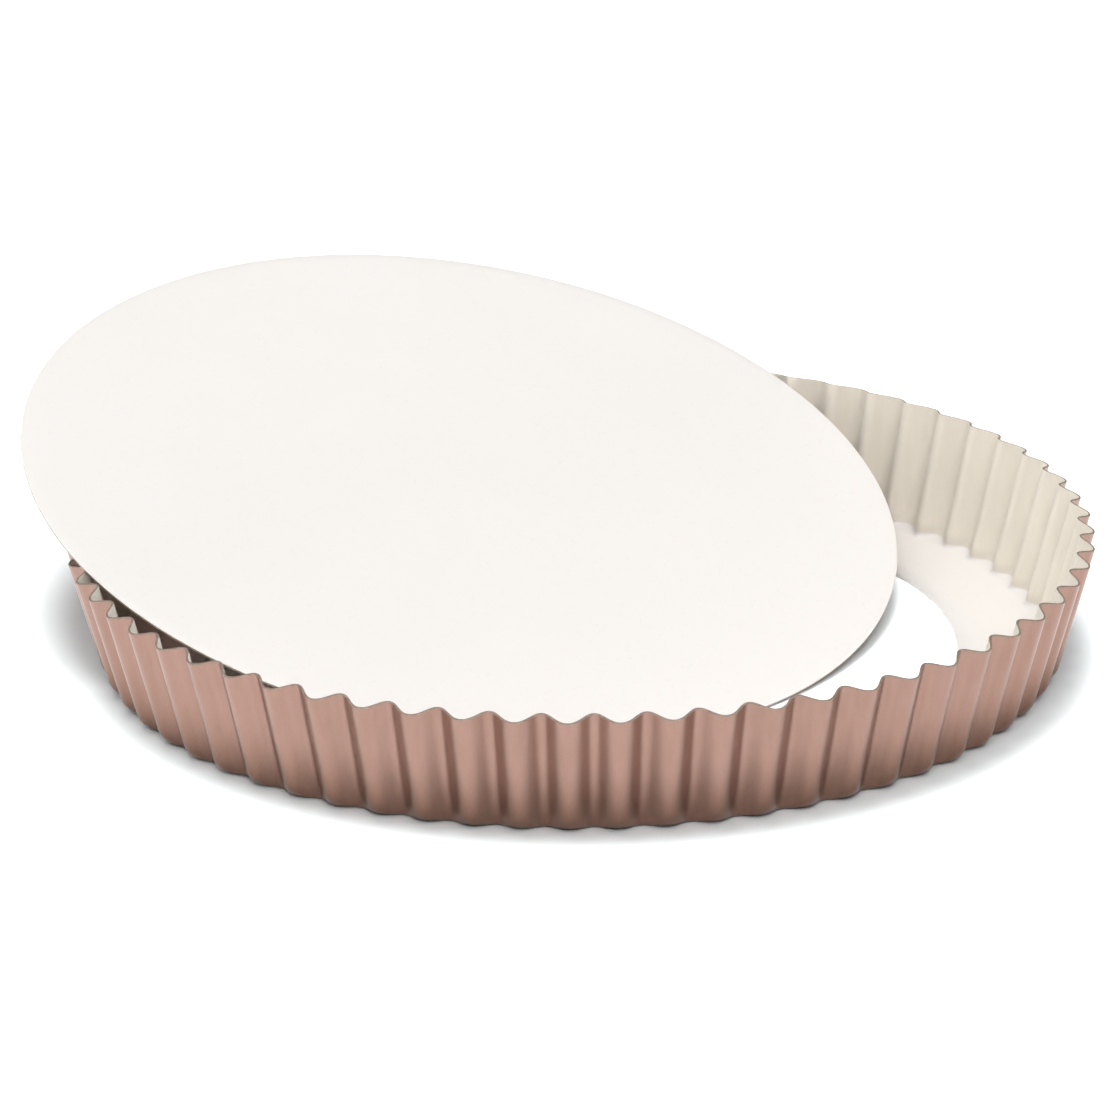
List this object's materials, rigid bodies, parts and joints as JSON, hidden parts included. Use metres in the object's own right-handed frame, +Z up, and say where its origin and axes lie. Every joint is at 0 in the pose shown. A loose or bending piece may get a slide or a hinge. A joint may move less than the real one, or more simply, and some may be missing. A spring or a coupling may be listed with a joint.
{
  "type": "loose-base tart pan",
  "caption": "Round fluted tart pan with flared walls, an inward ledge round an open bottom, and a loose flat base that leans in the ring and lifts out.",
  "frame": {"origin": "middle of the floor rectangle that the ring and the leaning base cover together, on the surface the pan stands on", "axes": "+Z up off that surface, along the ring's axis; -Y towards the front, on the side where the base's low edge is; +X to the right, on the side where the base leaves the ring open"},
  "size_m": [0.2952, 0.3011, 0.0658],
  "materials": {
    "rose_coating": "satin rose-bronze metallic coating on the outside of the sheet; the inside of the ring has the cream coating",
    "cream_coating": "smooth low-sheen cream ceramic-type coating on the side that food touches"
  },
  "bodies": {
    "ring": {"fluted_ring": "rose_coating"},
    "base": {"loose_base": "cream_coating"}
  },
  "joints": [
    {"name": "base_lift", "type": "slide", "parent": "ring", "child": "base", "axis": [0, 0, 1], "range_m": [0, 0.1]}
  ]
}
